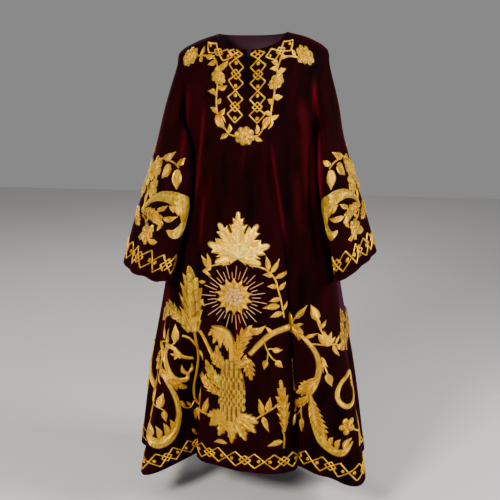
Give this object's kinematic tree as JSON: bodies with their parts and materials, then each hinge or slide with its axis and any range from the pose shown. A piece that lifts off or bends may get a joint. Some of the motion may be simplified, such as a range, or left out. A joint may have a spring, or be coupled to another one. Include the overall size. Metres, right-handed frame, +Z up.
{
  "type": "sakkos",
  "caption": "Wide-sleeved velvet vestment on its worn hollow form, with a slit round neck, bell sleeves, a deeply folded flared skirt and satin-lined hem and cuffs.",
  "frame": {"origin": "middle of the neck at the height of the shoulder seams, where the wearer's shoulders carry the garment", "axes": "+Z up, -Y towards the front of the garment, +X towards the wearer's left sleeve"},
  "size_m": [0.8206, 0.4948, 1.3832],
  "materials": {
    "velvet": "deep burgundy cotton velvet, soft pile with a crimson sheen",
    "satin": "purple lining satin, smooth and softly glossy",
    "gold_thread": "couched gold thread, satin stitch and purl over padding, softly metallic",
    "pale_silk": "pale rose and cream silk satin stitch"
  },
  "bodies": {
    "root": {"front_panel": "velvet", "back_panel": "velvet", "sleeve_right": "velvet", "sleeve_left": "velvet", "hem_lining_front": "satin", "hem_lining_back": "satin", "cuff_lining_right": "satin", "cuff_lining_left": "satin", "side_facing_left": "satin"}
  },
  "joints": []
}
